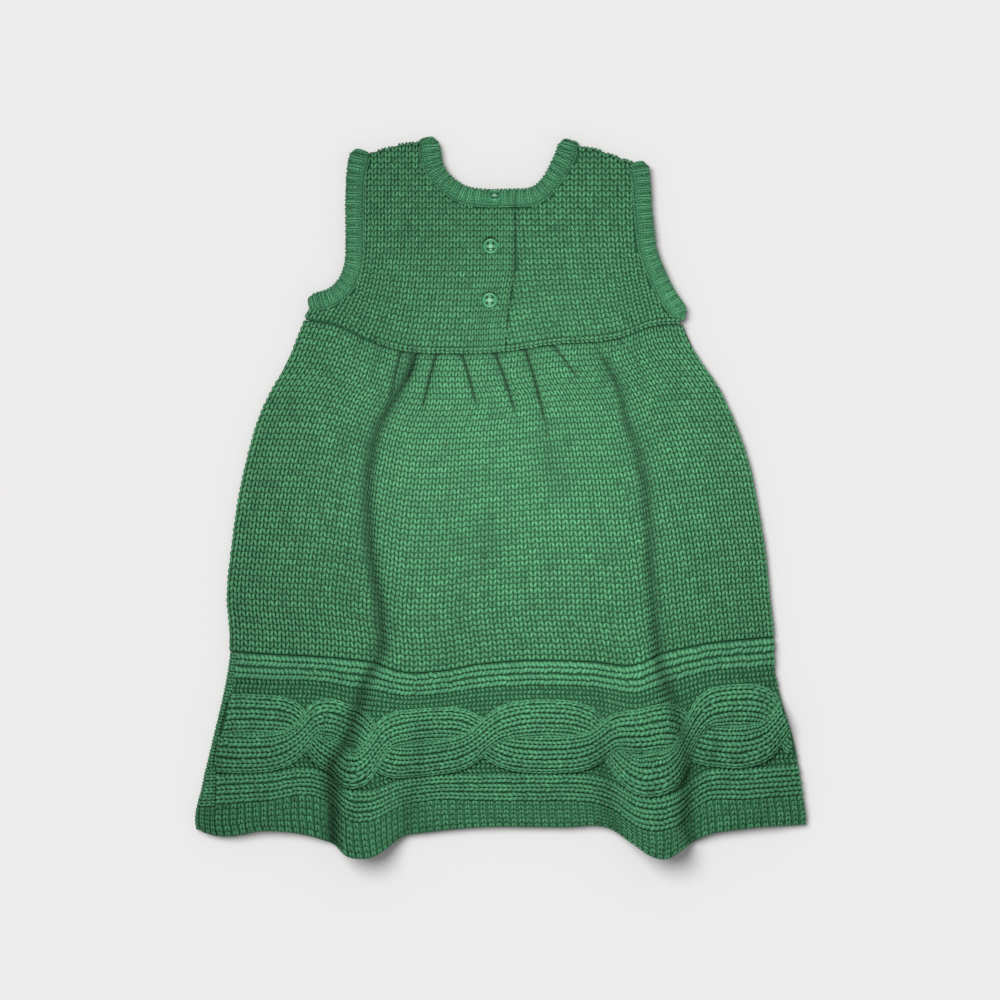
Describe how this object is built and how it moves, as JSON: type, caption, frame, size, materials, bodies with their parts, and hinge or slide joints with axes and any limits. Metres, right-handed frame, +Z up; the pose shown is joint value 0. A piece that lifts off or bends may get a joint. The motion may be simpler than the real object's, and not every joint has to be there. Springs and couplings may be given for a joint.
{
  "type": "cable knit dress",
  "caption": "Sleeveless child's cable knit dress laid flat, back up, with a gathered skirt, a cabled hem border and a buttoned back placket.",
  "frame": {"origin": "on the surface it lies on, under the middle of the garment's bounding box", "axes": "+Y from the hem to the shoulders, +X to the right of the back view, +Z up from the surface"},
  "size_m": [0.3825, 0.4513, 0.0267],
  "materials": {
    "stocking_knit": "soft heathered green yarn in stocking stitch",
    "cable_knit": "the same yarn knitted sideways with a rope cable",
    "rib_knit": "the same yarn in rib",
    "button_plastic": "glossy green four-hole buttons"
  },
  "bodies": {
    "root": {"skirt_back": "stocking_knit", "border_back_left": "cable_knit", "border_back_right": "cable_knit", "hem_rib_back": "rib_knit", "skirt_front": "stocking_knit", "border_front": "cable_knit", "hem_rib_front": "rib_knit", "neck_band": "rib_knit", "arm_band_left": "rib_knit", "arm_band_right": "rib_knit", "bodice_back_left": "stocking_knit", "bodice_back_right": "stocking_knit", "bodice_front": "stocking_knit", "button_1": "button_plastic", "button_2": "button_plastic", "button_3": "button_plastic"}
  },
  "joints": []
}
